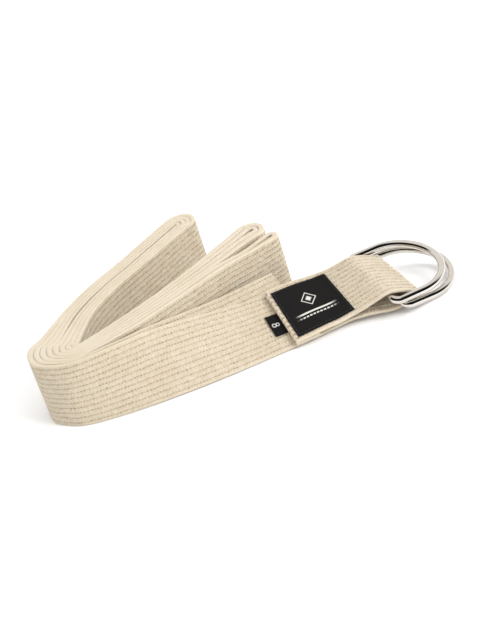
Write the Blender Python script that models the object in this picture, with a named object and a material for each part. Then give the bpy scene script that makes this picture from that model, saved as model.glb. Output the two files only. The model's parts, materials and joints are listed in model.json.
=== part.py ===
"""Stretching strap: cotton webbing folded in half four times, with two D-rings sewn into one end.

The webbing is one piece, 38.1 mm (1.5 in) wide and about 2.5 m long. Halving it four
times gives sixteen passes of about 0.15 m. They stand on edge, nested round one shared turn at
the left (layer 1 is the outermost and layer 8 the innermost), and come back to three folds at
the right: A, four layers deep, B, two deep, and C, one deep. Layer 1 runs on to the D-rings,
leaning back until it lies almost flat, and layer 2 ends free behind it.

Lengths are in millimetres and angles in degrees until a mesh is made.
"""
import bpy
import bmesh
from math import ceil, cos, degrees, pi, radians, sin, sqrt
from mathutils import Matrix, Vector

MM = 0.001                       # one millimetre in metres

# ---------------------------------------------------------------- driving sizes
WEB_WIDTH = 38.1                 # 1.5 in webbing
WEB_THICK = 2.0
GAP = 0.3                        # clearance between pieces that touch
WIRE = 4.4                       # diameter of the D-ring wire
RING_INNER = 41.0                # clear length of a ring's straight bar
RING_REACH = 41.4                # from the bar's centre line to the far end's centre line
RING_LEG = 17.0                  # length of the straight legs, from the bar
RING_CORNER = 4.0                # bend radius of the wire at the bar's two ends
LABEL_SPAN = (33, 67)            # distances from the bend
LABEL_ACROSS = (-17.0, 15.6)     # from the webbing's centre line, front edge and back edge
LABEL_THICK = 0.7
TAB_SPAN = (58, 76)              # distances from the bend: it sticks out beyond the sewn end
TAB_ACROSS = (-8.2, 5.8)
TAB_THICK = 0.4
THREAD = 0.6                     # diameter of the sewing thread
SHIFT = Vector((-3.69, -8.6, 0.02))  # brings the middle of the object's box to the origin

# ---------------------------------------------------------------- the folded layers in plan
# A ray starts on the inner side of the innermost layer and points outward at an angle, and the
# layers cross it one pitch apart.
LAYERS = 8
TURN_CENTRE = Vector((-86.0, -38.5))
LEFT_TURN = [(267, 2.75, 5.0), (240, 2.85, 3.2), (216, 3.05, 1.6), (195, 3.4, 0.6),
             (172, 3.6, 0), (155, 3.7, 0), (140, 3.5, 0)]            # angle, pitch, lean
BACK_RAYS = [(-76.0, -9.0, 140, 2.5), (-61.4, 11.1, 138, 2.35), (-43.5, 28.9, 137, 2.3)]
FRONT_RAYS = [(-66.0, -27.5, -60, 2.65, 2.8),                        # x, y, angle, pitch in B,
              (-38.3, -9.4, -56, 2.85, 3.3),                         # pitch in C
              (-12.0, 12.0, -53, 3.7, 3.8)]
B_RAY = (8.0, 30.0, -52, 4.5)
C_RAY = (11.7, 9.3, -57, 4.4, 8.0)                                   # x, y, angle, two distances
FOLD_A = (Vector((-19.5, 66.5)), [(137, 2.45), (111, 2.65), (88, 3.0), (66, 3.3), (48, 3.4),
                                  (32, 3.3), (12, 3.1), (-8, 2.9), (-26, 2.6), (-43, 2.4)])
FOLD_B = (Vector((22.0, 28.7)), [(128, 4.7), (106, 4.4), (84, 4.0), (60, 3.7), (36, 3.5),
                                 (12, 3.4), (-10, 3.4), (-32, 3.6), (-52, 4.3)])
FOLD_C = (Vector((30.5, 13.8)), [(120, 4.2), (90, 4.3), (60, 4.4), (30, 4.4), (0, 4.4),
                                 (-30, 4.4), (-60, 4.6)])

# The two layers in front: x, y and height of the lower edge, lean back from upright, and the
# direction in plan in which it leans.
LAYER_1 = [(94, -43.2, 2.2, 76, 110), (82, -47.6, 2.2, 76, 110), (68, -46.2, 3.0, 73.5, 107),
           (58, -44.8, 2.5, 70.5, 105.5), (48, -45.5, 1.4, 67, 104.5), (36, -47.3, 0.4, 64, 104),
           (15, -50.9, 0, 60, 103), (-5, -54.6, 0, 53.5, 100), (-25, -57.5, 0, 43.5, 97),
           (-45, -59.3, 0, 29.5, 94), (-60, -60.0, 0, 18.5, 91), (-73, -60.0, 0, 11, 88)]
LAYER_2 = [(-73, -56.9, 0, 10.5, 90), (-60, -56.6, 0, 17.5, 95), (-45, -54.6, 0, 28, 100),
           (-25, -50.5, 0, 40, 105), (-5, -44.2, 0, 49, 109), (15, -36.8, 0, 54, 110),
           (36, -29.0, 0, 56, 111)]

# ---------------------------------------------------------------- the end that holds the rings
# The folded-back end lies over layer 1. Distance from the loop's bend, height above layer 1
# (centre to centre): it is highest over the two ring bars and doubled at its sewn end.
FOLD_BACK = [(0, 5.0), (5, 8.2), (10, 11.1), (15, 12.5), (17.5, 12.1), (21.5, 9.4), (28, 5.8),
             (34.5, 3.7), (40, 2.7), (46, 2.7), (55, 5.4), (80, 5.4)]
FOLD_BACK_END = 67               # length of the folded-back end, from the bend
FOLD_BACK_SLIDE = [(15, 0.0), (33, -0.8), (67, -1.4)]  # distance, offset across: sewn askew
TURNED_UNDER = 12                # length that is turned under before it is sewn
TURNED_HEIGHT = 3.0              # turned-under piece above layer 1, with the tab between them
RINGS = {"d_ring_lower": (9.2, 3.5, 7.7),    # distance of the bar from the bend, height above
         "d_ring_upper": (14.9, 8.8, 5.8)}   # layer 1, dip of the ring below the webbing's plane
RING_SLIDE = -0.8                # the rings sit a little towards the front edge

# ---------------------------------------------------------------- sampling
ACROSS_WEIGHT = 17.0             # millimetres of path counted for a radian of lean
STEP = 0.8                       # spacing of the smooth path
PATCH_STEP = 2                   # spacing of the sections along the folded-back end
TWIST_WEIGHT = 4.0               # degrees of turn counted for a degree of twist
MAX_TURN = 11.0                  # a new section after this much turn
MAX_LENGTH = 9.0                 # or after this much length


def plan(angle):
    """Unit vector in plan at an angle from +X."""
    return Vector((cos(radians(angle)), sin(radians(angle))))


def smooth_path(points, step):
    """Points about a step apart on the centripetal Catmull-Rom curve through the given ones."""
    pts = [2 * points[0] - points[1]] + list(points) + [2 * points[-1] - points[-2]]
    out = []
    for p0, p1, p2, p3 in zip(pts, pts[1:], pts[2:], pts[3:]):
        d1, d2, d3 = (sqrt((b - a).length) for a, b in ((p0, p1), (p1, p2), (p2, p3)))
        m1 = (p2 - p1) + d2 * ((p1 - p0) / d1 - (p2 - p0) / (d1 + d2))
        m2 = (p2 - p1) + d2 * ((p3 - p2) / d3 - (p3 - p1) / (d2 + d3))
        count = max(1, ceil((p2 - p1).length / step))
        for i in range(count):
            t = i / count
            out.append(p1 * ((1 + 2 * t) * (1 - t) ** 2) + m1 * (t * (1 - t) ** 2)
                       + p2 * (t * t * (3 - 2 * t)) + m2 * (t * t * (t - 1)))
    out.append(points[-1].copy())
    return out


def interpolate(table, x):
    """Smoothly eased value in a table of (x, value) rows."""
    for (x0, y0), (x1, y1) in zip(table, table[1:]):
        if x <= x1:
            t = max(0, (x - x0) / (x1 - x0))
            return y0 + (y1 - y0) * t * t * (3 - 2 * t)
    return table[-1][1]


# ---------------------------------------------------------------- where the layers run
def station(x, y, z, lean, towards):
    """Centre of the webbing over its lower edge, joined with the direction across it."""
    flat = plan(towards) * sin(radians(lean))
    across = Vector((flat.x, flat.y, cos(radians(lean))))
    foot = Vector((x, y, z + WEB_THICK / 2 * sin(radians(lean))))
    return join(foot + across * WEB_WIDTH / 2, across)


def join(centre, across):
    """One six-part vector, so that the place and the lean are smoothed together."""
    return Vector((*centre, *(across * ACROSS_WEIGHT)))


def split(joined):
    """The centre and the unit vector across, from a joined vector."""
    return Vector(joined[:3]), Vector(joined[3:]).normalized()


def upright(spot):
    return station(spot.x, spot.y, 0, 0, 0)


def ray(row, reach):
    """The point a distance out along a ray that starts with x, y and angle."""
    return Vector(row[:2]) + plan(row[2]) * reach


def left_turn(layer):
    """One layer from the front run round the left turn and up the back run."""
    outward = LAYERS - layer + 0.5
    stations = []
    for angle, pitch, lean in LEFT_TURN:
        spot = TURN_CENTRE + plan(angle) * pitch * outward
        stations.append(station(*spot, 0, lean * (LAYERS - layer) / (LAYERS - 1), angle + 180))
    return stations + [upright(ray(row, row[3] * outward)) for row in BACK_RAYS]


def front_run(layer):
    """Layers 3 to 8 from the left turn towards fold B (5 to 8) or fold C (3 and 4)."""
    if layer > 4:
        outward = LAYERS - layer + 0.5
        return [upright(ray(row, row[3] * outward)) for row in FRONT_RAYS + [B_RAY]]
    outward = 4 - layer + 0.5
    spots = [ray(row, row[3] * 4 + row[4] * outward) for row in FRONT_RAYS]
    spots.append(ray(C_RAY, C_RAY[3 + 4 - layer]))
    return [upright(spot) for spot in spots]


def fold(shape, wrap):
    """One wrap round a fold at the right, from its back side to its front side."""
    centre, rays = shape
    return [upright(centre + plan(angle) * pitch * (wrap - 0.5)) for angle, pitch in rays]


def main_route():
    """The sixteen passes, from the loop's bend to the free end."""
    runs = [(LAYER_1_STATIONS, False), (left_turn(1), False), (fold(FOLD_A, 4), False),
            (left_turn(8), True), (front_run(8), False), (fold(FOLD_B, 2), False),
            (front_run(5), True), (left_turn(5), False), (fold(FOLD_A, 1), True),
            (left_turn(4), True), (front_run(4), False), (fold(FOLD_C, 1), False),
            (front_run(3), True), (left_turn(3), False), (fold(FOLD_A, 2), False),
            (left_turn(6), True), (front_run(6), False), (fold(FOLD_B, 1), True),
            (front_run(7), True), (left_turn(7), False), (fold(FOLD_A, 3), True),
            (left_turn(2), True), (LAYER_2_STATIONS, False)]
    stations = []
    for run, backwards in runs:
        stations.extend(reversed(run) if backwards else run)
    return smooth_path(stations, STEP)


LAYER_1_STATIONS = [station(*row) for row in LAYER_1]
LAYER_2_STATIONS = [station(*row) for row in LAYER_2]
ROUTE = main_route()


def frame_at(distance):
    """Layer 1 at a distance from the loop's bend: centre, direction, across, and up off it."""
    travelled = 0.0
    for before, after in zip(ROUTE, ROUTE[1:]):
        (start, across), (end, _) = split(before), split(after)
        length = (end - start).length
        if travelled + length > distance:
            break
        travelled += length
    along = (end - start) / length
    centre = start + along * (distance - travelled)
    return centre, along, across, across.cross(along).normalized()


def above(distance, height):
    """A joined vector on the folded-back end, at a height above layer 1."""
    centre, _, across, up = frame_at(distance)
    return join(centre + up * height + across * interpolate(FOLD_BACK_SLIDE, distance), across)


def bend(distance, low, high, outward):
    """Half a turn between two heights above layer 1, bulging along its direction or against."""
    _, along, across, up = frame_at(distance)
    radius = (high - low) / 2
    middle, _ = split(above(distance, (low + high) / 2))
    turns = [radians(angle) for angle in range(0, 181, 15)]
    return [join(middle + along * outward * radius * sin(a) - up * radius * cos(a), across)
            for a in turns]


def fold_back_route():
    """From the turned-under end, round the sewn end, over the bars and down to the bend."""
    sewn_height = FOLD_BACK[-1][1]
    under = [above(s, TURNED_HEIGHT)
             for s in range(FOLD_BACK_END - TURNED_UNDER, FOLD_BACK_END, PATCH_STEP)]
    over = [above(s, interpolate(FOLD_BACK, s))
            for s in range(FOLD_BACK_END - PATCH_STEP, 0, -PATCH_STEP)]
    loop = list(reversed(bend(0, 0, FOLD_BACK[0][1], -1)))
    return under + bend(FOLD_BACK_END, TURNED_HEIGHT, sewn_height, 1) + over + loop[:-1]


def thin_out(path):
    """The stations kept for the mesh: a new one after enough turn or enough length."""
    kept = [path[0]]
    length = turn = 0.0
    for before, here, after in zip(path, path[1:], path[2:]):
        (start, lean), (middle, next_lean), (end, _) = split(before), split(here), split(after)
        length += (middle - start).length
        turn += degrees((middle - start).angle(end - middle))
        turn += TWIST_WEIGHT * degrees(lean.angle(next_lean))
        if length > MAX_LENGTH or turn > MAX_TURN:
            kept.append(here)
            length = turn = 0.0
    return kept + [path[-1]]


# ---------------------------------------------------------------- meshes
def new_object(name, verts, faces, finish):
    """A mesh object from points in millimetres, with outward faces."""
    mesh = bpy.data.meshes.new(name)
    mesh.from_pydata([v * MM for v in verts], [], faces)
    bm = bmesh.new()
    bm.from_mesh(mesh)
    bmesh.ops.triangulate(bm, faces=bm.faces[:])
    bmesh.ops.recalc_face_normals(bm, faces=bm.faces[:])
    bm.to_mesh(mesh)
    bm.free()
    obj = bpy.data.objects.new(name, mesh)
    bpy.context.scene.collection.objects.link(obj)
    colour, roughness, metallic = finish
    material = bpy.data.materials.new(name)
    material.use_nodes = True
    shader = material.node_tree.nodes["Principled BSDF"]
    shader.inputs["Base Color"].default_value = (*colour, 1)
    shader.inputs["Roughness"].default_value = roughness
    shader.inputs["Metallic"].default_value = metallic
    mesh.materials.append(material)
    return obj


def loft(name, rings, finish, closed=False):
    """A solid through rings of points; open runs get end caps."""
    count = len(rings[0])
    verts = [v for points in rings for v in points]
    faces = []
    spans = len(rings) if closed else len(rings) - 1
    for i in range(spans):
        a, b = i * count, (i + 1) % len(rings) * count
        faces.extend((a + j, a + (j + 1) % count, b + (j + 1) % count, b + j)
                     for j in range(count))
    if not closed:
        faces.append(tuple(range(count)))
        faces.append(tuple(range(len(verts) - count, len(verts))))
    return new_object(name, verts, faces, finish)


def flat_section(centre, along, across, thickness, low, high):
    """Four corners of a strip's section, from low to high across it."""
    side = along.cross(across).normalized() * thickness / 2
    return [centre + across * low - side, centre + across * high - side,
            centre + across * high + side, centre + across * low + side]


def strip(name, path, thickness, span, finish):
    """A flat strip along a path of joined vectors."""
    places = [split(joined) for joined in path]
    legs = [(b[0] - a[0]).normalized() for a, b in zip(places, places[1:])]
    rings = []
    for before, after, (centre, across) in zip([legs[0]] + legs, legs + [legs[-1]], places):
        rings.append(flat_section(centre, before + after, across, thickness, *span))
    return loft(name, rings, finish)


def tube(name, points, diameter, finish, sides, closed=False):
    """A round wire or thread along points, with the section turned least from one to the next."""
    count = len(points)
    rings = []
    normal = None
    for i, point in enumerate(points):
        ahead = points[(i + 1) % count] if closed or i + 1 < count else point
        behind = points[i - 1] if closed or i > 0 else point
        along = (ahead - behind).normalized()
        if normal is None:
            normal = along.orthogonal().normalized()
        normal = (normal - along * normal.dot(along)).normalized()
        other = along.cross(normal)
        angles = [2 * pi * j / sides for j in range(sides)]
        rings.append([point + (normal * cos(a) + other * sin(a)) * diameter / 2 for a in angles])
    return loft(name, rings, finish, closed)


# ---------------------------------------------------------------- the pieces
COTTON = ((0.83, 0.76, 0.62), 0.9, 0.0)          # colour, roughness, metallic
BLACK = ((0.03, 0.03, 0.035), 0.6, 0.0)
THREAD_BLACK = ((0.02, 0.02, 0.02), 0.7, 0.0)
THREAD_NATURAL = ((0.8, 0.74, 0.62), 0.8, 0.0)
NICKEL = ((0.8, 0.79, 0.77), 0.12, 1.0)


def webbing():
    half = WEB_WIDTH / 2
    path = fold_back_route() + thin_out(ROUTE)
    return strip("webbing", path, WEB_THICK, (-half, half), COTTON)


def ring_pose(name):
    """Middle of the bar, outward direction and bar direction of a ring at rest."""
    distance, height, angle = RINGS[name]
    _, along, bar, up = frame_at(0)
    dip = radians(angle)
    outward = -along * cos(dip) - up * sin(dip)
    centre, _, _, up = frame_at(distance)
    return centre + up * height + bar * RING_SLIDE, outward, bar


def ring_outline():
    """Centre line of the wire: (outward, along the bar)."""
    half = (RING_INNER + WIRE) / 2
    corner = [(RING_CORNER * (1 - cos(radians(a))), half - RING_CORNER * (1 - sin(radians(a))))
              for a in range(0, 91, 15)]
    bow = RING_REACH - RING_LEG
    arc = [(RING_LEG + bow * sin(radians(a)), half * cos(radians(a))) for a in range(0, 91, 6)]
    upper = [(0.0, 0.0), (0.0, half / 2)] + corner + arc
    lower = [(x, -y) for x, y in reversed(upper[1:-1])]
    return upper + lower


def d_ring(name):
    """A ring made flat round its own origin, then placed with that origin on its hinge."""
    points = [Vector((x, y, 0)) for x, y in ring_outline()]
    ring = tube(name, points, WIRE, NICKEL, 14, closed=True)
    middle, outward, bar = ring_pose(name)
    turn = Matrix((outward, bar, outward.cross(bar))).transposed()
    ring.rotation_euler = turn.to_euler()
    ring.location = middle * MM
    return ring


def patch(name, span, across_span, height, thickness, finish):
    """A strip that follows the folded-back end at a height over layer 1."""
    places = [*range(span[0], span[1], PATCH_STEP), span[1]]
    return strip(name, [above(s, height(s)) for s in places], thickness, across_span, finish)


def label():
    lift = WEB_THICK / 2 + GAP + LABEL_THICK / 2
    return patch("label", LABEL_SPAN, LABEL_ACROSS,
                 lambda s: interpolate(FOLD_BACK, s) + lift, LABEL_THICK, BLACK)


def size_tab():
    return patch("size_tab", TAB_SPAN, TAB_ACROSS, lambda s: TURNED_HEIGHT / 2, TAB_THICK, BLACK)


def label_stitching():
    """One closed run of thread just inside the label's border."""
    inset = 1.4
    lift = WEB_THICK / 2 + GAP + LABEL_THICK + GAP + THREAD / 2
    s0, s1 = LABEL_SPAN[0] + inset, LABEL_SPAN[1] - inset
    w0, w1 = LABEL_ACROSS[0] + inset, LABEL_ACROSS[1] - inset
    count = 18
    along = [s0 + (s1 - s0) * i / count for i in range(count)]
    across = [w0 + (w1 - w0) * i / 6 for i in range(6)]
    border = [(s, w0) for s in along] + [(s1, w) for w in across]
    border += [(s0 + s1 - s, w1) for s in along] + [(s0, w0 + w1 - w) for w in across]
    points = []
    for s, w in border:
        centre, across = split(above(s, interpolate(FOLD_BACK, s) + lift))
        points.append(centre + across * w)
    return tube("label_stitching", points, THREAD, THREAD_BLACK, 6, closed=True)


def hem_stitching():
    """A line of thread across the free end of layer 2, on its front face."""
    inset = 5.0
    (start, across), (end, _) = split(ROUTE[-12]), split(ROUTE[-1])
    along = (end - start).normalized()
    front = along.cross(across).normalized()
    middle = end - along * inset + front * (WEB_THICK / 2 + GAP + THREAD / 2)
    half = WEB_WIDTH / 2 - 2
    points = [middle + across * (-half + 2 * half * i / 10) for i in range(11)]
    return tube("hem_stitching", points, THREAD, THREAD_NATURAL, 6)


def main():
    for obj in list(bpy.data.objects):
        bpy.data.objects.remove(obj)
    layout = bpy.data.objects.new("layout", None)
    bpy.context.scene.collection.objects.link(layout)
    layout.location = SHIFT * MM
    pieces = [webbing(), label(), size_tab(), label_stitching(), hem_stitching()]
    pieces += [d_ring(name) for name in RINGS]
    for piece in pieces:
        piece.parent = layout


main()
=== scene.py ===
"""Looks of the stretching strap: cotton webbing, D-rings, label, tab and sewing, built round the
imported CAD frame.

The layout below is in millimetres and degrees. It is the one the CAD was built from, but the
folded-back end and the tab are a little softer. Meshes are made in metres in the CAD's frame.
"""

import json
from math import ceil, cos, degrees, pi, radians, sin, sqrt

import bpy
from mathutils import Matrix, Vector


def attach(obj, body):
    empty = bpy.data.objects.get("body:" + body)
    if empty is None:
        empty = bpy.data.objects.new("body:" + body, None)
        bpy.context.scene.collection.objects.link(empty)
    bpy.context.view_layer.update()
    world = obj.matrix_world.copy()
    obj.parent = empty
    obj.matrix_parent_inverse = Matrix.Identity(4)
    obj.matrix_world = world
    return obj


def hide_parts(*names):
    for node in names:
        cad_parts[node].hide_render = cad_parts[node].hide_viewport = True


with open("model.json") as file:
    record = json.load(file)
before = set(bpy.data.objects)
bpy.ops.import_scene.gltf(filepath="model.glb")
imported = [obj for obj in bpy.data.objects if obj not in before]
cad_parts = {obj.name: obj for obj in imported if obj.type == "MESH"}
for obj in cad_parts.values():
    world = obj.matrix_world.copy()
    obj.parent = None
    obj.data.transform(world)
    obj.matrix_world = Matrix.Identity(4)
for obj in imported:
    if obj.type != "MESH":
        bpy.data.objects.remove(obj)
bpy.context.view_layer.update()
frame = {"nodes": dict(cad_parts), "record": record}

MM = 0.001

# ---------------------------------------------------------------- layout of the folded webbing
WEB_WIDTH = 38.1
WEB_THICK = 2.0
GAP = 0.3
SHIFT = Vector((-3.69, -8.6, 0.02))

LAYERS = 8                       # at the turn they share; layer 1 is outermost
TURN_CENTRE = Vector((-86.0, -38.5))
# The shared turn: angle, pitch of the layers, lean of the outermost.
LEFT_TURN = [(267, 2.75, 5.0), (240, 2.85, 3.2), (216, 3.05, 1.6), (195, 3.4, 0.6),
             (172, 3.6, 0), (155, 3.7, 0), (140, 3.5, 0)]
# Straight runs behind and in front, as rays across the layers: x, y, angle, pitch.
BACK_RAYS = [(-76.0, -9.0, 140, 2.5), (-61.4, 11.1, 138, 2.35), (-43.5, 28.9, 137, 2.3)]
# In front, the pitch is given in fold B and then in fold C.
FRONT_RAYS = [(-66.0, -27.5, -60, 2.65, 2.8),
              (-38.3, -9.4, -56, 2.85, 3.3),
              (-12.0, 12.0, -53, 3.7, 3.8)]
B_RAY = (8.0, 30.0, -52, 4.5)
C_RAY = (11.7, 9.3, -57, 4.4, 8.0)       # x, y, angle, distances of layers 4 and 3
# Each fold's outer turn: centre, then angle and pitch.
FOLD_A = (Vector((-19.5, 66.5)), [(137, 2.45), (111, 2.65), (88, 3.0), (66, 3.3), (48, 3.4),
                                  (32, 3.3), (12, 3.1), (-8, 2.9), (-26, 2.6), (-43, 2.4)])
FOLD_B = (Vector((22.0, 28.7)), [(128, 4.7), (106, 4.4), (84, 4.0), (60, 3.7), (36, 3.5),
                                 (12, 3.4), (-10, 3.4), (-32, 3.6), (-52, 4.3)])
FOLD_C = (Vector((30.5, 13.8)), [(120, 4.2), (90, 4.3), (60, 4.4), (30, 4.4), (0, 4.4),
                                 (-30, 4.4), (-60, 4.6)])
# The end with the rings and the free end: x, y, height, lean, angle leaned towards.
LAYER_1 = [(94, -43.2, 2.2, 76, 110), (82, -47.6, 2.2, 76, 110), (68, -46.2, 3.0, 73.5, 107),
           (58, -44.8, 2.5, 70.5, 105.5), (48, -45.5, 1.4, 67, 104.5), (36, -47.3, 0.4, 64, 104),
           (15, -50.9, 0, 60, 103), (-5, -54.6, 0, 53.5, 100), (-25, -57.5, 0, 43.5, 97),
           (-45, -59.3, 0, 29.5, 94), (-60, -60.0, 0, 18.5, 91), (-73, -60.0, 0, 11, 88)]
LAYER_2 = [(-73, -56.9, 0, 10.5, 90), (-60, -56.6, 0, 17.5, 95), (-45, -54.6, 0, 28, 100),
           (-25, -50.5, 0, 40, 105), (-5, -44.2, 0, 49, 109), (15, -36.8, 0, 54, 110),
           (36, -29.0, 0, 56, 111)]
# The folded-back end, by distance from its bend: height over layer 1, and slide across.
FOLD_BACK = [(0, 5.0), (5, 8.4), (10, 11.3), (14, 12.5), (17.5, 12.1), (22, 9.6), (28, 6.4),
             (34, 4.5), (40, 3.8), (46, 4.2), (52, 5.1), (57, 5.4), (68, 5.4), (80, 5.4)]
FOLD_BACK_SLIDE = [(15, 0.0), (33, -0.8), (67, -1.4)]
FOLD_BACK_END = 67
TURNED_UNDER = 12
TURNED_HEIGHT = 3.0
START_REACH = 110                # length of layer 1 that the folded-back end is measured over

# Spans are distances from the bend.
LABEL_SPAN = (33, 67)
LABEL_ACROSS = (-17.0, 15.6)
LABEL_THICK = 0.7
TAB_SPAN = (58, 76)
TAB_ACROSS = (-8.2, 5.8)
TAB_THICK = 0.52                 # with its crown
TAB_FREE = 2                     # distance beyond the sewn end where the tab begins to lift
TAB_LIFT = 0.45

# Rings: the bar lies in the loop, the legs run out from it and the bow joins them.
WIRE = 4.4
RING_INNER = 41.0
RING_REACH = 41.4
RING_LEG = 17.0
RING_CORNER = 4.0
WIRE_SIDES = 40

# Sewing
STITCH = 1.9
STITCH_GAP = 0.5
STITCH_RISE = 0.1                # centre of the thread above the cloth
LABEL_INSET = 1.0
LABEL_THREAD = 0.45
HEM_ROWS = (5.0, 2.8)            # distances of the two rows from the free end
HEM_MARGIN = 2                   # and how far they stop from the edges
HEM_THREAD = 0.5
HEM_STATIONS = 11                # last steps of the route, which give its direction at the hem
THREAD_SIDES = 8
THREAD_SHAPE = [(0.0, 0.35), (0.1, 0.8), (0.3, 1.0), (0.7, 1.0), (0.9, 0.8), (1.0, 0.35)]
THREAD_SAG = 0.3                 # the ends of a stitch dip by this part of its thickness

# ---------------------------------------------------------------- shape of the cloth
ROWS = 12                        # ribs across the webbing, with a sunk line of stitches in each
SELVEDGE = 0.7                   # width of the rounded edge
SQUARE = 0.7                     # below 1, the edge is squarer than an ellipse
RIB_DEPTH = 0.1
SNUG = 0.96                      # pressed layers fill this part of their pitch
LOOSE = 0.8                      # and layers with a gap beside them this part
LOOSE_TURN = 0.74                # the same at the left turn
THICKEST = 4.2                   # however wide the pitch, a layer is no thicker than this
OPEN_MIDDLE = 0.2                # pitches that the layers stand off the middle of a fold
LOOSE_AT_TURN = (1, 2, 4)        # layers with an open gap inside them at the left turn
OPEN_TURN = 200                  # the gaps are open at angles above this
ACROSS_WEIGHT = 17.0             # length that the direction across has while it is smoothed
STEP = 0.5                       # spacing of the smoothed route
SECTION_LENGTH = 2.4             # the mesh has a new section after this length
SECTION_TURN = 8.0               # or this turn
EDGE_TURNS = (67, 45, 22, 0, -22, -45, -67)
FACE_ZONE = 0                    # material slots of the webbing
EDGE_ZONE = 1
TINY = 1e-6

# ---------------------------------------------------------------- colours, weave and motifs
COTTON = (0.79, 0.69, 0.54, 1)
COTTON_WARM = (0.74, 0.63, 0.46, 1)
# Dark of the cotton: its own flecks and darkest cross threads, and painted shade in sunk
# stitches, grooves and the gaps of the edge
COTTON_DARK_TONE_AND_PAINTED_SHADE = (0.31, 0.2, 0.085, 1)
DASH = 1.75                      # length of one stitch of the weave along the webbing
WEFT = 0.875                     # and of one cross thread
SLANT = 1.2                      # spacing of the slanting threads on the edge
MARK_PAINTED_SHADE = 0.52                # how far painted shade darkens a sunk stitch
GROOVE_PAINTED_SHADE = 0.16              # and the groove it lies in, also painted shade
THREAD_VARIETY = 0.22            # and how dark the darkest cross threads are in their own tone
BLACK = (0.0075, 0.007, 0.007, 1)
BLACK_PAINTED_SHEEN = (0.015, 0.014, 0.0135, 1)
WOVEN_WHITE = (0.62, 0.6, 0.56, 1)
RIBBON_WEFT = 0.32               # spacing of the ribbon's cross threads
RIBBON_WARP = 0.24               # and of its long threads
NICKEL = (0.71, 0.675, 0.63, 1)
NICKEL_DULL = (0.62, 0.58, 0.53, 1)
THREAD_BLACK = (0.035, 0.034, 0.036, 1)
THREAD_BLACK_PAINTED_SHADE = (0.012, 0.012, 0.013, 1)
THREAD_NATURAL = (0.78, 0.71, 0.57, 1)
THREAD_NATURAL_PAINTED_SHADE = (0.6, 0.52, 0.38, 1)
FLOOR_WHITE = (0.96, 0.96, 0.96, 1)

# Heights of the bump maps, in metres.
COTTON_RELIEF = 0.00055
RIBBON_RELIEF = 0.00012
THREAD_RELIEF = 0.0001
PLATE_RELIEF = 0.00002

# The label's motif, measured from its middle.
DIAMOND_AT = 3.6
DIAMOND_OUTLINE = (4.4, 0.35)    # reach of its corners, half the line's width
DIAMOND_CORE = 1.9
LINES_REACH = 10.5
STRIPE = (-5.0, 0.55)            # place across, half the width
DASHES = (-7.3, 0.45)
DASHES_PITCH = 2.1

# The tab's numeral: distance from the tab's end, then its rings' places and radii.
NUMERAL_AT = 3.6
NUMERAL_RINGS = ((-0.95, 0.9), (1.05, 1.05))
NUMERAL_LINE = 0.26

# ---------------------------------------------------------------- stage, in metres
FLOOR_SIZE = 6.0
LIGHTS = [("key", (1.9, -1.3, 1.9), 46.0),      # name, place, watts
          ("top", (0.5, -0.2, 2.2), 8.0)]
LIGHT_SIZE = 1.2
SURROUND = 0.98                  # brightness of the even surround
# What metal sees: brightness by height, from the floor up dark walls to a bright roof.
LOW_WALL = (0.6, 0.58, 0.55, 1)
WALL_LEVELS = ((0.02, 0.012), (0.86, 0.012), (0.92, 1.0))
FAR_SIDE = (-0.05, 0.3)          # the far side brightens between these shares of the direction
FAR_SIDE_WHITE = (1, 0.98, 0.95, 1)
CAMERA_DISTANCE = 0.85
CAMERA_ELEVATION = 29
CAMERA_ROLL = 18
LENS = 84.375                    # millimetres, on a sensor 36 mm along its longer side
SENSOR = 36.0


def plan(angle):
    return Vector((cos(radians(angle)), sin(radians(angle))))


def swell(pitch, share=SNUG):
    return min(THICKEST, max(WEB_THICK, pitch * share))


def join(centre, across, thick):
    """One seven-part vector: centre, direction across and thickness are smoothed together."""
    return Vector((*centre, *(across * ACROSS_WEIGHT), thick))


def split(joined):
    return Vector(joined[:3]), Vector(joined[3:6]).normalized(), joined[6]


def hermite(start, start_slope, end, end_slope, t):
    """The cubic from start to end with the given slopes, at t from 0 to 1."""
    return (start * ((1 + 2 * t) * (1 - t) ** 2) + start_slope * (t * (1 - t) ** 2)
            + end * (t * t * (3 - 2 * t)) + end_slope * (t * t * (t - 1)))


def smooth_path(points, step):
    """Points about a step apart on the centripetal Catmull-Rom curve through the given ones."""
    pts = [2 * points[0] - points[1]] + list(points) + [2 * points[-1] - points[-2]]
    out = []
    for p0, p1, p2, p3 in zip(pts, pts[1:], pts[2:], pts[3:]):
        d1, d2, d3 = (sqrt((b - a).length) for a, b in ((p0, p1), (p1, p2), (p2, p3)))
        m1 = (p2 - p1) + d2 * ((p1 - p0) / d1 - (p2 - p0) / (d1 + d2))
        m2 = (p2 - p1) + d2 * ((p3 - p2) / d3 - (p3 - p1) / (d2 + d3))
        count = max(1, ceil((p2 - p1).length / step))
        out.extend(hermite(p1, m1, p2, m2, i / count) for i in range(count))
    out.append(points[-1].copy())
    return out


def interpolate(table, x):
    """Value at x on a smooth curve through (x, value) rows, level beyond them."""
    ends = [table[0]] + table + [table[-1]]
    if x <= table[0][0]:
        return table[0][1]
    for (xa, ya), (x0, y0), (x1, y1), (xb, yb) in zip(ends, ends[1:], ends[2:], ends[3:]):
        if x <= x1:
            span = x1 - x0
            m0 = (y1 - ya) / (x1 - xa) * span
            m1 = (yb - y0) / (xb - x0) * span
            return hermite(y0, m0, y1, m1, (x - x0) / span)
    return table[-1][1]


def station(x, y, z, lean, towards, thick=WEB_THICK):
    """The webbing's section where its lower edge stands at x, y, z and it leans over."""
    flat = plan(towards) * sin(radians(lean))
    across = Vector((flat.x, flat.y, cos(radians(lean))))
    foot = Vector((x, y, z + WEB_THICK / 2 * sin(radians(lean))))
    return join(foot + across * WEB_WIDTH / 2, across, thick)


def upright(spot, pitch, share=SNUG):
    return station(spot.x, spot.y, 0, 0, 0, swell(pitch, share))


def ray(row, reach):
    return Vector(row[:2]) + plan(row[2]) * reach


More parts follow.
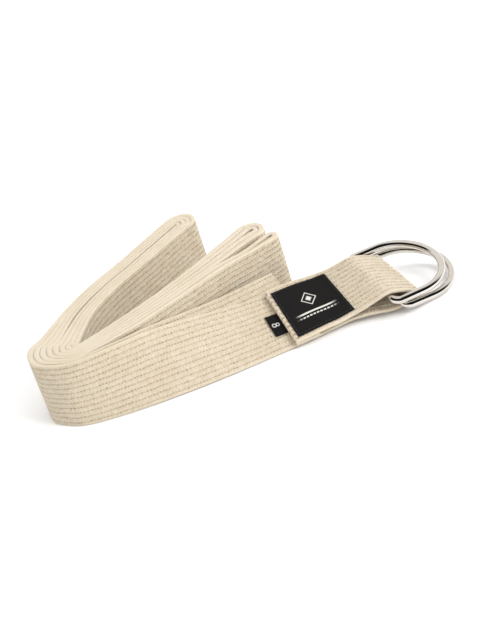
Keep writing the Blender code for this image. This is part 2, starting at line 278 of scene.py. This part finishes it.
def left_turn(layer):
    """Stations of one layer from the front, round the shared turn, to the back."""
    outward = LAYERS - layer + 0.5
    middle = LOOSE if layer in (4, 5) else SNUG
    stations = []
    for angle, pitch, lean in LEFT_TURN:
        spot = TURN_CENTRE + plan(angle) * pitch * outward
        share = LOOSE_TURN if layer in LOOSE_AT_TURN and angle > OPEN_TURN else SNUG
        stations.append(station(*spot, 0, lean * (LAYERS - layer) / (LAYERS - 1), angle + 180,
                                swell(pitch, share)))
    outward += OPEN_MIDDLE if layer < 5 else -OPEN_MIDDLE
    return stations + [upright(ray(row, row[3] * outward), row[3], middle) for row in BACK_RAYS]


def front_run(layer):
    """Stations of one layer from the shared turn towards fold B (layers 5 to 8) or C."""
    share = LOOSE if layer in (3, 4, 6, 7) else SNUG
    if layer > 4:
        outward = LAYERS - layer + 0.5
        return [upright(ray(row, row[3] * outward), row[3], share)
                for row in FRONT_RAYS + [B_RAY]]
    outward = 4 - layer + 0.5
    stations = [upright(ray(row, row[3] * 4 + row[4] * outward), row[4], share)
                for row in FRONT_RAYS]
    stations.append(upright(ray(C_RAY, C_RAY[3 + 4 - layer]), C_RAY[4] - C_RAY[3], share))
    return stations


def fold(shape, wrap):
    centre, rays = shape
    share = LOOSE if wrap == 1 else SNUG
    return [upright(centre + plan(angle) * pitch * (wrap - 0.5 + OPEN_MIDDLE), pitch, share)
            for angle, pitch in rays]


def main_route():
    """The whole webbing from the loop's bend to the free end, through all the folds."""
    runs = [(LAYER_1_STATIONS, False), (left_turn(1), False), (fold(FOLD_A, 4), False),
            (left_turn(8), True), (front_run(8), False), (fold(FOLD_B, 2), False),
            (front_run(5), True), (left_turn(5), False), (fold(FOLD_A, 1), True),
            (left_turn(4), True), (front_run(4), False), (fold(FOLD_C, 1), False),
            (front_run(3), True), (left_turn(3), False), (fold(FOLD_A, 2), False),
            (left_turn(6), True), (front_run(6), False), (fold(FOLD_B, 1), True),
            (front_run(7), True), (left_turn(7), False), (fold(FOLD_A, 3), True),
            (left_turn(2), True), (LAYER_2_STATIONS, False)]
    stations = []
    for run, backwards in runs:
        stations.extend(reversed(run) if backwards else run)
    return smooth_path(stations, STEP)


LAYER_1_STATIONS = [station(*row) for row in LAYER_1]
LAYER_2_STATIONS = [station(*row) for row in LAYER_2]
ROUTE = main_route()


def measured_start(route, reach):
    """The first stretch of the route as (distance, centre, along, across) rows."""
    rows = []
    travelled = 0.0
    for before, after in zip(route, route[1:]):
        start, across, _ = split(before)
        step = split(after)[0] - start
        rows.append((travelled, start, step.normalized(), across))
        travelled += step.length
        if travelled > reach:
            return rows


START = measured_start(ROUTE, START_REACH)


def frame_at(distance):
    """Layer 1 at a distance from the loop's bend: centre, direction, across, and up off it."""
    row = max((r for r in START if r[0] <= distance), default=START[0], key=lambda r: r[0])
    travelled, start, along, across = row
    return (start + along * (distance - travelled), along, across,
            across.cross(along).normalized())


def above(distance, height):
    """A joined vector on the folded-back end, at a height above layer 1."""
    centre, _, across, up = frame_at(distance)
    slide = interpolate(FOLD_BACK_SLIDE, distance)
    return join(centre + up * height + across * slide, across, WEB_THICK)


def bend(distance, low, high, outward):
    """A half turn from the lower height to the higher, bulging forwards or backwards."""
    _, along, across, up = frame_at(distance)
    radius = (high - low) / 2
    middle = split(above(distance, (low + high) / 2))[0]
    turns = [radians(angle) for angle in range(0, 181, 10)]
    return [join(middle + along * outward * radius * sin(a) - up * radius * cos(a), across,
                 WEB_THICK) for a in turns]


def fold_back_route():
    """The part turned under, the folded-back end and the loop, up to the bend's start."""
    sewn_height = FOLD_BACK[-1][1]
    under = [above(s, TURNED_HEIGHT) for s in range(FOLD_BACK_END - TURNED_UNDER, FOLD_BACK_END)]
    over = [above(s, interpolate(FOLD_BACK, s)) for s in range(FOLD_BACK_END - 1, 0, -1)]
    loop = list(reversed(bend(0, 0, FOLD_BACK[0][1], -1)))
    return under + bend(FOLD_BACK_END, TURNED_HEIGHT, sewn_height, 1) + over + loop[:-1]


def thin_out(path):
    """The stations kept for the mesh: a new one after enough turn or enough length."""
    kept = [path[0]]
    length = turn = 0.0
    for before, here, after in zip(path, path[1:], path[2:]):
        start, middle, end = (split(p)[0] for p in (before, here, after))
        length += (middle - start).length
        turn += degrees((middle - start).angle(end - middle))
        if length > SECTION_LENGTH or turn > SECTION_TURN:
            kept.append(here)
            length = turn = 0.0
    return kept + [path[-1]]


# ---------------------------------------------------------------- meshes
def link(name, mesh, materials, body="strap"):
    obj = bpy.data.objects.new(name, mesh)
    bpy.context.scene.collection.objects.link(obj)
    for material in materials:
        mesh.materials.append(material)
    mesh.polygons.foreach_set("use_smooth", [True] * len(mesh.polygons))
    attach(obj, body)
    return obj


def to_metres(point):
    return (point + SHIFT) * MM


def web_profile():
    """The webbing's outline as (across, depth), going round once.

    Depth is 1 on a face, less RIB_DEPTH in a groove, and falls to 0 round the two edges.
    """
    flat = WEB_WIDTH / 2 - SELVEDGE
    count = 2 * ROWS
    face = [(-flat + 2 * flat * i / count, 1 - (i % 2) * RIB_DEPTH) for i in range(count + 1)]
    turns = [radians(angle) for angle in EDGE_TURNS]
    edge = [(flat + SELVEDGE * cos(a) ** SQUARE, abs(sin(a)) ** SQUARE * (1 if a > 0 else -1))
            for a in turns]
    top = face + edge
    return top + [(-x, -y) for x, y in top]


def webbing_mesh(name, path):
    """The rounded, ribbed strip, with its own measure of length and width in millimetres."""
    profile = web_profile()
    size = len(profile)
    flat = WEB_WIDTH / 2 - SELVEDGE
    places = [split(joined) for joined in path]
    legs = [(b[0] - a[0]).normalized() for a, b in zip(places, places[1:])]
    verts = []
    lengths = [0.0]
    for i, (centre, across, thick) in enumerate(places):
        if i:
            lengths.append(lengths[-1] + (centre - places[i - 1][0]).length)
        along = legs[max(i - 1, 0)] + legs[min(i, len(legs) - 1)]
        side = along.cross(across).normalized() * thick / 2
        verts.extend(to_metres(centre + across * x + side * y) for x, y in profile)
    faces = []
    uvs = []
    zones = []
    for i in range(len(places) - 1):
        u0, u1 = lengths[i], lengths[i + 1]
        for j in range(size):
            k = (j + 1) % size
            a, b = i * size, (i + 1) * size
            faces.append((a + j, a + k, b + k, b + j))
            on_edge = max(abs(profile[j][0]), abs(profile[k][0])) > flat + TINY
            axis = 1 if on_edge else 0
            v0, v1 = profile[j][axis], profile[k][axis]
            uvs.extend([(u0, v0), (u0, v1), (u1, v1), (u1, v0)])
            zones.append(EDGE_ZONE if on_edge else FACE_ZONE)
    ends = [tuple(range(size - 1, -1, -1)), tuple(range(len(verts) - size, len(verts)))]
    for end in ends:
        faces.append(end)
        uvs.extend([(0.0, 0.0)] * size)
        zones.append(EDGE_ZONE)
    mesh = bpy.data.meshes.new(name)
    mesh.from_pydata(verts, [], faces)
    layer = mesh.uv_layers.new(name="weave")
    layer.data.foreach_set("uv", [c for uv in uvs for c in uv])
    return mesh, zones


def sweep(name, rings, closed, materials, body="strap", uvs=None):
    """A smooth solid through rings of points in metres, with a UV for each point if given."""
    size = len(rings[0])
    verts = [v for points in rings for v in points]
    faces = []
    spans = len(rings) if closed else len(rings) - 1
    for i in range(spans):
        a, b = i * size, (i + 1) % len(rings) * size
        faces.extend((a + j, a + (j + 1) % size, b + (j + 1) % size, b + j)
                     for j in range(size))
    if not closed:
        faces.append(tuple(range(size - 1, -1, -1)))
        faces.append(tuple(range(len(verts) - size, len(verts))))
    mesh = bpy.data.meshes.new(name)
    mesh.from_pydata(verts, [], faces)
    if uvs:
        layer = mesh.uv_layers.new(name="weave")
        layer.data.foreach_set("uv", [c for loop in mesh.loops for c in uvs[loop.vertex_index]])
    return link(name, mesh, materials, body)


def capsules(name, seams, material, thick):
    """Stitches of sewing thread, each a short capsule, from (start, end, up) rows in metres."""
    verts = []
    faces = []
    sides = THREAD_SIDES
    for start, end, up in seams:
        along = (end - start).normalized()
        up = (up - along * up.dot(along)).normalized()
        other = along.cross(up)
        length = (end - start).length
        first = len(verts)
        for at, width in THREAD_SHAPE:
            sag = (at * (1 - at) * 4 - 1) * thick * THREAD_SAG
            centre = start + along * length * at + up * sag
            for j in range(sides):
                a = 2 * pi * j / sides
                verts.append(centre + (other * cos(a) + up * sin(a)) * thick / 2 * width)
        for i in range(len(THREAD_SHAPE) - 1):
            a, b = first + i * sides, first + (i + 1) * sides
            faces.extend((a + j, a + (j + 1) % sides, b + (j + 1) % sides, b + j)
                         for j in range(sides))
        faces.append(tuple(range(first + sides - 1, first - 1, -1)))
        faces.append(tuple(range(len(verts) - sides, len(verts))))
    mesh = bpy.data.meshes.new(name)
    mesh.from_pydata(verts, [], faces)
    return link(name, mesh, [material])


def tube_rings(points, diameter, sides):
    """Rings round a closed wire, with the section turned least from one to the next."""
    rings = []
    normal = None
    for i, point in enumerate(points):
        along = (points[(i + 1) % len(points)] - points[i - 1]).normalized()
        if normal is None:
            normal = along.orthogonal().normalized()
        normal = (normal - along * normal.dot(along)).normalized()
        other = along.cross(normal)
        angles = [2 * pi * j / sides for j in range(sides)]
        rings.append([point + (normal * cos(a) + other * sin(a)) * diameter / 2 for a in angles])
    return rings


# ---------------------------------------------------------------- materials
class Nodes:
    """Short names for the shader nodes used here."""

    def __init__(self, name):
        self.material = bpy.data.materials.new(name)
        self.material.use_nodes = True
        self.tree = self.material.node_tree
        self.shader = self.tree.nodes["Principled BSDF"]

    def link(self, value, socket):
        if isinstance(value, bpy.types.NodeSocket):
            self.tree.links.new(value, socket)
        else:
            socket.default_value = value

    def math(self, operation, a, b=0.0, c=0.0):
        node = self.tree.nodes.new("ShaderNodeMath")
        node.operation = operation
        for value, socket in zip((a, b, c), node.inputs):
            self.link(value, socket)
        return node.outputs[0]

    def ramp(self, value, low, high):
        """0 below low, 1 above high, eased between."""
        node = self.tree.nodes.new("ShaderNodeMapRange")
        node.interpolation_type = "SMOOTHSTEP"
        self.link(value, node.inputs["Value"])
        node.inputs["From Min"].default_value = low
        node.inputs["From Max"].default_value = high
        return node.outputs["Result"]

    def mix(self, factor, a, b):
        node = self.tree.nodes.new("ShaderNodeMix")
        node.data_type = "RGBA"
        self.link(factor, node.inputs[0])
        self.link(a, node.inputs[6])
        self.link(b, node.inputs[7])
        return node.outputs[2]

    def combine(self, x, y, z=0.0):
        node = self.tree.nodes.new("ShaderNodeCombineXYZ")
        for value, socket in zip((x, y, z), node.inputs):
            self.link(value, socket)
        return node.outputs[0]

    def weave(self):
        """Length and width along the webbing, in millimetres."""
        source = self.tree.nodes.new("ShaderNodeUVMap")
        source.uv_map = "weave"
        parts = self.tree.nodes.new("ShaderNodeSeparateXYZ")
        self.tree.links.new(source.outputs[0], parts.inputs[0])
        return parts.outputs[0], parts.outputs[1]

    def place(self):
        return self.tree.nodes.new("ShaderNodeTexCoord").outputs["Object"]

    def noise(self, vector, scale, detail=2.0):
        node = self.tree.nodes.new("ShaderNodeTexNoise")
        self.link(vector, node.inputs["Vector"])
        node.inputs["Scale"].default_value = scale
        node.inputs["Detail"].default_value = detail
        return node.outputs[0]

    def random(self, vector):
        node = self.tree.nodes.new("ShaderNodeTexWhiteNoise")
        self.link(vector, node.inputs["Vector"])
        return node.outputs["Value"]

    def bump(self, height, distance, strength=1.0):
        node = self.tree.nodes.new("ShaderNodeBump")
        node.inputs["Distance"].default_value = distance
        node.inputs["Strength"].default_value = strength
        self.link(height, node.inputs["Height"])
        self.tree.links.new(node.outputs[0], self.shader.inputs["Normal"])

    def set(self, **values):
        for name, value in values.items():
            self.link(value, self.shader.inputs[name.replace("_", " ")])


def finish_cotton(n, colour, height):
    n.bump(height, COTTON_RELIEF, 1.0)
    n.set(Base_Color=colour, Roughness=0.9)
    n.shader.inputs["Sheen Weight"].default_value = 0.2
    n.shader.inputs["Sheen Roughness"].default_value = 0.5
    n.shader.inputs["Specular IOR Level"].default_value = 0.2
    return n.material


def cotton_base(n):
    """Uneven natural cotton: broad warm patches, flecks and fine fibres."""
    place = n.place()
    patches = n.ramp(n.noise(place, 70.0), 0.35, 0.75)
    fibres = n.noise(place, 2600.0, 3.0)
    flecks = n.ramp(n.noise(place, 900.0, 2.0), 0.58, 0.78)
    colour = n.mix(n.math("MULTIPLY", patches, 0.6), COTTON, COTTON_WARM)
    colour = n.mix(n.math("MULTIPLY", flecks, 0.12), colour, COTTON_DARK_TONE_AND_PAINTED_SHADE)
    return colour, fibres


def rib_groove(n, u, v, rows):
    """1 along the middle of each rib, which wanders a little, and 0 beside it."""
    drift = n.math("SUBTRACT", n.noise(n.combine(u, v), 0.22), 0.5)
    off_centre = n.math("SUBTRACT", n.math("FRACT", rows), 0.5)
    off_centre = n.math("ABSOLUTE", n.math("MULTIPLY_ADD", drift, 0.25, off_centre))
    return n.math("SUBTRACT", 1.0, n.ramp(off_centre, 0.02, 0.24))


def sunk_stitches(n, u, row, groove):
    """Short sunk stitches in the groove, staggered from row to row and uneven in strength; the
    mask sets their depth and their painted shade.
    """
    wobble = n.math("MULTIPLY", n.noise(n.combine(u, n.math("MULTIPLY", row, 7.3)), 0.3), 1.2)
    stagger = n.math("ADD", wobble, n.math("MULTIPLY", row, 0.5))
    dashes = n.math("ADD", n.math("DIVIDE", u, DASH), stagger)
    in_dash = n.math("ABSOLUTE", n.math("SUBTRACT", n.math("FRACT", dashes), 0.5))
    dash = n.math("SUBTRACT", 1.0, n.ramp(in_dash, 0.2, 0.4))
    strength = n.random(n.combine(n.math("FLOOR", dashes), row))
    strength = n.math("MULTIPLY_ADD", strength, 0.6, 0.4)
    return n.math("MULTIPLY", n.math("MULTIPLY", groove, dash), strength)


def webbing_face():
    """Ribs with a broken line of sunk stitches along the middle of each, and cross threads; the
    stitches and grooves are darkened with painted shade.
    """
    n = Nodes("cotton_face")
    u, v = n.weave()
    pitch = (WEB_WIDTH - 2 * SELVEDGE) / ROWS
    rows = n.math("DIVIDE", n.math("ADD", v, WEB_WIDTH / 2 - SELVEDGE), pitch)
    half_row = n.math("FLOOR", n.math("MULTIPLY", rows, 2.0))
    groove = rib_groove(n, u, v, rows)
    mark = sunk_stitches(n, u, n.math("FLOOR", rows), groove)

    colour, fibres = cotton_base(n)
    threads = n.math("DIVIDE", u, WEFT)
    cell = n.combine(n.math("FLOOR", threads), half_row, 3.0)
    # Painted shade in the sunk stitches and their grooves, plus the cross threads' own uneven
    # tone
    shade = n.math("MULTIPLY_ADD", mark, MARK_PAINTED_SHADE, n.math("MULTIPLY", groove, GROOVE_PAINTED_SHADE))
    shade = n.math("MULTIPLY_ADD", n.random(cell), THREAD_VARIETY, shade)
    colour = n.mix(shade, colour, COTTON_DARK_TONE_AND_PAINTED_SHADE)

    staggered = n.math("ADD", threads, n.math("MULTIPLY", half_row, 0.5))
    weft = n.math("SINE", n.math("MULTIPLY", staggered, 2 * pi))
    puff = n.math("MULTIPLY", n.math("SUBTRACT", 1.0, groove), weft)
    height = n.math("MULTIPLY_ADD", puff, 0.34, n.math("MULTIPLY", fibres, 0.7))
    sunk = n.math("MULTIPLY_ADD", mark, 0.9, n.math("MULTIPLY", groove, 0.3))
    return finish_cotton(n, colour, n.math("SUBTRACT", height, sunk))


def webbing_edge():
    """The selvedge: slanting threads round the rounded edge."""
    n = Nodes("cotton_edge")
    u, v = n.weave()
    slant = n.math("MULTIPLY_ADD", n.math("ABSOLUTE", v), 0.8, n.math("DIVIDE", u, SLANT))
    thread = n.math("ABSOLUTE", n.math("SUBTRACT", n.math("FRACT", slant), 0.5))
    gap = n.math("SUBTRACT", 1.0, n.ramp(thread, 0.0, 0.25))
    colour, fibres = cotton_base(n)
    # Painted shade in the gaps between the slanting threads
    colour = n.mix(n.math("MULTIPLY", gap, 0.1), colour, COTTON_DARK_TONE_AND_PAINTED_SHADE)
    height = n.math("SUBTRACT", n.math("MULTIPLY", fibres, 0.9), n.math("MULTIPLY", gap, 0.5))
    return finish_cotton(n, colour, height)


def satin(name, motif=None):
    """Fine black ribbon with cross threads; the motif gives where its white threads show."""
    n = Nodes(name)
    u, v = n.weave()
    rib = n.math("SINE", n.math("MULTIPLY", u, 2 * pi / RIBBON_WEFT))
    warp = n.math("SINE", n.math("MULTIPLY", v, 2 * pi / RIBBON_WARP))
    specks = n.noise(n.place(), 2500.0, 2.0)
    grain = n.math("MULTIPLY_ADD", n.math("MULTIPLY", rib, warp), 0.25, specks)
    # Painted sheen: the black is lighter where the threads and specks stand highest
    tone = n.mix(n.ramp(grain, 0.35, 0.8), BLACK, BLACK_PAINTED_SHEEN)
    height = grain
    if motif:
        mark = motif(n, u, v)
        tone = n.mix(mark, tone, WOVEN_WHITE)
        height = n.math("MULTIPLY_ADD", mark, 0.5, grain)
    n.bump(height, RIBBON_RELIEF, 0.7)
    n.set(Base_Color=tone, Roughness=0.72)
    n.shader.inputs["Specular IOR Level"].default_value = 0.14
    return n.material


def band(n, value, centre, half):
    """1 where the value is within half of the centre, with a soft border."""
    away = n.math("ABSOLUTE", n.math("SUBTRACT", value, centre))
    return n.math("SUBTRACT", 1.0, n.ramp(away, half * 0.75, half * 1.25))


def label_motif(n, u, v):
    """A plain diamond in a diamond outline, over a stripe and a row of short dashes."""
    x = n.math("SUBTRACT", u, sum(LABEL_SPAN) / 2)
    y = n.math("SUBTRACT", v, sum(LABEL_ACROSS) / 2)
    lifted = n.math("SUBTRACT", y, DIAMOND_AT)
    reach = n.math("ADD", n.math("ABSOLUTE", x), n.math("ABSOLUTE", lifted))
    outline = band(n, reach, *DIAMOND_OUTLINE)
    diamonds = n.math("MAXIMUM", outline, band(n, reach, 0.0, DIAMOND_CORE))
    beat = n.math("FRACT", n.math("DIVIDE", x, DASHES_PITCH))
    beat = n.math("ABSOLUTE", n.math("SUBTRACT", beat, 0.5))
    dashes = n.math("MULTIPLY", band(n, y, *DASHES), n.ramp(beat, 0.12, 0.2))
    lines = n.math("MAXIMUM", band(n, y, *STRIPE), dashes)
    lines = n.math("MULTIPLY", lines, band(n, x, 0.0, LINES_REACH))
    return n.math("MAXIMUM", diamonds, lines)


def tab_motif(n, u, v):
    """The numeral 8, lying along the tab, as two rings."""
    x = n.math("SUBTRACT", u, TAB_SPAN[1] - NUMERAL_AT)
    y = n.math("SUBTRACT", v, sum(TAB_ACROSS) / 2)
    marks = []
    for centre, radius in NUMERAL_RINGS:
        off = n.math("SUBTRACT", x, centre)
        square = n.math("ADD", n.math("MULTIPLY", y, y), n.math("MULTIPLY", off, off))
        marks.append(band(n, n.math("SQRT", square), radius, NUMERAL_LINE))
    return n.math("MAXIMUM", *marks)


def thread_material(name, colour, shade):
    """Twisted sewing thread."""
    n = Nodes(name)
    fuzz = n.noise(n.place(), 3500.0, 2.0)
    n.bump(fuzz, THREAD_RELIEF, 0.6)
    # Painted shade: the thread is darker where its fuzz is low
    n.set(Base_Color=n.mix(n.ramp(fuzz, 0.35, 0.7), shade, colour), Roughness=0.7)
    return n.material


def nickel():
    """Bright plate with faint smears and fine pits."""
    n = Nodes("nickel")
    place = n.place()
    smear = n.noise(place, 90.0, 3.0)
    pits = n.noise(place, 700.0, 2.0)
    n.bump(pits, PLATE_RELIEF, 0.25)
    tone = n.mix(n.ramp(smear, 0.4, 0.8), NICKEL, NICKEL_DULL)
    rough = n.math("MULTIPLY_ADD", smear, 0.07, 0.03)
    n.set(Base_Color=tone, Roughness=rough)
    n.shader.inputs["Metallic"].default_value = 1.0
    return n.material


# ---------------------------------------------------------------- pieces
def webbing():
    path = thin_out(fold_back_route() + ROUTE)
    mesh, zones = webbing_mesh("strap_webbing", path)
    obj = link("strap_webbing", mesh, [webbing_face(), webbing_edge()])
    mesh.polygons.foreach_set("material_index", zones)
    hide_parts("webbing")


def ring_frame(node, joint):
    """Middle of the bar, outward direction and bar direction of a ring, from the CAD."""
    row = next(j for j in frame["record"]["behaviour"]["joints"] if j["name"] == joint)
    middle = Vector(row["pos_m"])
    bar = -Vector(row["axis"]).normalized()
    verts = frame["nodes"][node].data.vertices
    centre = sum((v.co for v in verts), Vector()) / len(verts)
    outward = centre - middle
    outward = (outward - bar * outward.dot(bar)).normalized()
    return middle, outward, bar


def ring_outline():
    """Centre line of the wire: (outward, along the bar)."""
    half = (RING_INNER + WIRE) / 2
    corner = [(RING_CORNER * (1 - cos(radians(a))), half - RING_CORNER * (1 - sin(radians(a))))
              for a in range(0, 91, 9)]
    legs = [(RING_CORNER + (RING_LEG - RING_CORNER) * i / 6, half) for i in range(1, 6)]
    bow = RING_REACH - RING_LEG
    arc = [(RING_LEG + bow * sin(radians(a)), half * cos(radians(a))) for a in range(0, 91, 3)]
    bar = [(0.0, (half - RING_CORNER) * i / 6) for i in range(6)]
    upper = bar + corner + legs + arc
    lower = [(x, -y) for x, y in reversed(upper[1:-1])]
    return upper + lower


def d_ring(node, joint, body, material):
    middle, outward, bar = ring_frame(node, joint)
    points = [middle + (outward * x + bar * y) * MM for x, y in ring_outline()]
    obj = sweep(node + "_metal", tube_rings(points, WIRE * MM, WIRE_SIDES), True,
                [material], body)
    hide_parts(node)


def over_end(s, w, height):
    """A point over layer 1 in the folded-back end's own layout, in metres."""
    centre, across, _ = split(above(s, height))
    return to_metres(centre + across * w)


def patch_rings(span, across_span, height, thick, cells):
    """Rings of a thin strip with softly rounded edges, and the UV of each of their points."""
    soft = thick / 2
    w0, w1 = across_span
    face = [w0 + soft + (w1 - w0 - 2 * soft) * i / cells for i in range(cells + 1)]
    turns = [radians(a) for a in (60, 30, 0, -30, -60)]
    top = [(w, 1.0) for w in face] + [(w1 - soft + soft * cos(a), sin(a)) for a in turns]
    low = [(w, -1.0) for w in reversed(face)] + [(w0 + soft - soft * cos(a), -sin(a))
                                                 for a in turns]
    count = span[1] - span[0]
    edge = [(0.0, 0.35), (0.08, 0.8), (0.2, 1.0)]
    stations = [(span[0] + inset, size) for inset, size in edge]
    stations += [(span[0] + i, 1.0) for i in range(1, count)]
    stations += [(span[1] - inset, size) for inset, size in reversed(edge)]
    rings = []
    places = []
    for s, size in stations:
        rings.append([over_end(s, w, height(s) + y * size * thick / 2) for w, y in top + low])
        places.extend((s, w) for w, _ in top + low)
    return rings, places


def patch(name, span, across_span, height, thick, cells, material):
    """A thin strip whose UVs are its distance from the bend and its place across."""
    rings, places = patch_rings(span, across_span, height, thick, cells)
    return sweep(name, rings, False, [material], uvs=places)


def label():
    lift = WEB_THICK / 2 + GAP + LABEL_THICK / 2
    obj = patch("woven_label", LABEL_SPAN, LABEL_ACROSS,
                lambda s: interpolate(FOLD_BACK, s) + lift, LABEL_THICK, 16,
                satin("label_satin", label_motif))
    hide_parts("label")


def size_tab():
    """A folded ribbon that lifts a little beyond the sewn end."""
    free = FOLD_BACK_END + TAB_FREE

    def height(s):
        out = max(0.0, s - free) / (TAB_SPAN[1] - free)
        return TURNED_HEIGHT / 2 + TAB_LIFT * out * out

    obj = patch("ribbon_tab", TAB_SPAN, TAB_ACROSS, height, TAB_THICK, 10,
                satin("tab_satin", tab_motif))
    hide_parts("size_tab")


def label_stitches():
    """Short black stitches just inside the label's border."""
    lift = WEB_THICK / 2 + GAP + LABEL_THICK + STITCH_RISE
    s0, s1 = LABEL_SPAN[0] + LABEL_INSET, LABEL_SPAN[1] - LABEL_INSET
    w0, w1 = LABEL_ACROSS[0] + LABEL_INSET, LABEL_ACROSS[1] - LABEL_INSET
    corners = [(s0, w0), (s1, w0), (s1, w1), (s0, w1)]
    seams = []
    for (sa, wa), (sb, wb) in zip(corners, corners[1:] + corners[:1]):
        side = abs(sb - sa) + abs(wb - wa)
        count = round(side / (STITCH + STITCH_GAP))
        for i in range(count):
            ends = []
            for at in (i / count, (i + STITCH / (STITCH + STITCH_GAP)) / count):
                s, w = sa + (sb - sa) * at, wa + (wb - wa) * at
                ends.append(over_end(s, w, interpolate(FOLD_BACK, s) + lift))
            seams.append((*ends, frame_at(sa)[3]))
    material = thread_material("thread_black", THREAD_BLACK, THREAD_BLACK_PAINTED_SHADE)
    obj = capsules("label_stitches", seams, material, LABEL_THREAD * MM)
    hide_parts("label_stitching")


def hem_stitches():
    """Two rows of stitches across the free end, on its front face."""
    start, across, _ = split(ROUTE[-1 - HEM_STATIONS])
    end, _, _ = split(ROUTE[-1])
    along = (end - start).normalized()
    front = along.cross(across).normalized()
    half = WEB_WIDTH / 2 - HEM_MARGIN
    count = round(2 * half / (STITCH + STITCH_GAP))
    seams = []
    for inset in HEM_ROWS:
        middle = end - along * inset + front * (WEB_THICK / 2 + STITCH_RISE)
        for i in range(count):
            at = -half + 2 * half * i / count
            seams.append((to_metres(middle + across * at),
                          to_metres(middle + across * (at + STITCH)), front))
    material = thread_material("thread_natural", THREAD_NATURAL, THREAD_NATURAL_PAINTED_SHADE)
    obj = capsules("hem_stitches", seams, material, HEM_THREAD * MM)
    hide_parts("hem_stitching")


# ---------------------------------------------------------------- stage, light and camera
def white_floor():
    mesh = bpy.data.meshes.new("floor")
    signs = [(-1, -1), (1, -1), (1, 1), (-1, 1)]
    mesh.from_pydata([(x * FLOOR_SIZE, y * FLOOR_SIZE, 0) for x, y in signs],
                     [], [(0, 1, 2, 3)])
    floor = bpy.data.objects.new("floor", mesh)
    bpy.context.scene.collection.objects.link(floor)
    n = Nodes("floor")
    n.set(Base_Color=FLOOR_WHITE, Roughness=0.8)
    n.shader.inputs["Specular IOR Level"].default_value = 0.1
    mesh.materials.append(n.material)


def studio():
    """An even white surround, in which polished metal sees a room with dark walls."""
    world = bpy.data.worlds.new("studio")
    bpy.context.scene.world = world
    world.use_nodes = True
    tree = world.node_tree
    even = tree.nodes["Background"]
    even.inputs["Color"].default_value = (1, 1, 1, 1)
    even.inputs["Strength"].default_value = SURROUND
    rays = tree.nodes.new("ShaderNodeLightPath")
    direction = tree.nodes.new("ShaderNodeTexCoord")
    parts = tree.nodes.new("ShaderNodeSeparateXYZ")
    tree.links.new(direction.outputs["Generated"], parts.inputs[0])
    ramp = tree.nodes.new("ShaderNodeValToRGB")
    tree.links.new(parts.outputs["Z"], ramp.inputs[0])
    steps = ramp.color_ramp.elements
    steps[0].color = LOW_WALL
    steps[1].color = (1, 1, 1, 1)
    for place, level in WALL_LEVELS:
        steps.new(place).color = (level, level, level, 1)
    window = tree.nodes.new("ShaderNodeMapRange")
    window.inputs["From Min"].default_value = FAR_SIDE[0]
    window.inputs["From Max"].default_value = FAR_SIDE[1]
    tree.links.new(parts.outputs["Y"], window.inputs["Value"])
    lit = tree.nodes.new("ShaderNodeMix")
    lit.data_type = "RGBA"
    tree.links.new(window.outputs["Result"], lit.inputs[0])
    tree.links.new(ramp.outputs[0], lit.inputs[6])
    lit.inputs[7].default_value = FAR_SIDE_WHITE
    walls = tree.nodes.new("ShaderNodeBackground")
    tree.links.new(lit.outputs[2], walls.inputs["Color"])
    walls.inputs["Strength"].default_value = 1.0
    choice = tree.nodes.new("ShaderNodeMixShader")
    tree.links.new(rays.outputs["Is Glossy Ray"], choice.inputs[0])
    tree.links.new(even.outputs[0], choice.inputs[1])
    tree.links.new(walls.outputs[0], choice.inputs[2])
    tree.links.new(choice.outputs[0], tree.nodes["World Output"].inputs["Surface"])


def soft_box(name, place, watts):
    """A square area light aimed at the strap, not seen in the metal."""
    lamp = bpy.data.lights.new(name, "AREA")
    lamp.shape = "RECTANGLE"
    lamp.size = lamp.size_y = LIGHT_SIZE
    lamp.energy = watts
    obj = bpy.data.objects.new(name, lamp)
    bpy.context.scene.collection.objects.link(obj)
    obj.rotation_euler = (-Vector(place)).to_track_quat("-Z", "Y").to_euler()
    obj.location = place
    obj.visible_glossy = False


def camera():
    """A view from the front and above, rolled so that the front run rises to the right."""
    elevation, roll = radians(CAMERA_ELEVATION), radians(CAMERA_ROLL)
    target = Vector((SHIFT.x, SHIFT.y, 0)) * MM
    back = Vector((0, -cos(elevation), sin(elevation)))
    right = Vector((1, 0, 0))
    up = back.cross(right)
    turned_up = up * cos(roll) + right * sin(roll)
    turned_right = right * cos(roll) - up * sin(roll)
    data = bpy.data.cameras.new("camera")
    data.sensor_width = SENSOR
    data.lens = LENS
    data.clip_start = 0.01
    obj = bpy.data.objects.new("camera", data)
    bpy.context.scene.collection.objects.link(obj)
    turn = Matrix((turned_right, turned_up, back)).transposed().to_4x4()
    obj.matrix_world = Matrix.Translation(target + back * CAMERA_DISTANCE) @ turn
    bpy.context.scene.camera = obj


def main():
    camera()
    white_floor()
    studio()
    for light in LIGHTS:
        soft_box(*light)
    webbing()
    metal = nickel()
    d_ring("d_ring_upper", "upper_ring_hinge", "upper_ring", metal)
    d_ring("d_ring_lower", "lower_ring_hinge", "lower_ring", metal)
    label()
    label_stitches()
    size_tab()
    hem_stitches()
    bpy.context.scene.view_settings.view_transform = "Standard"


main()
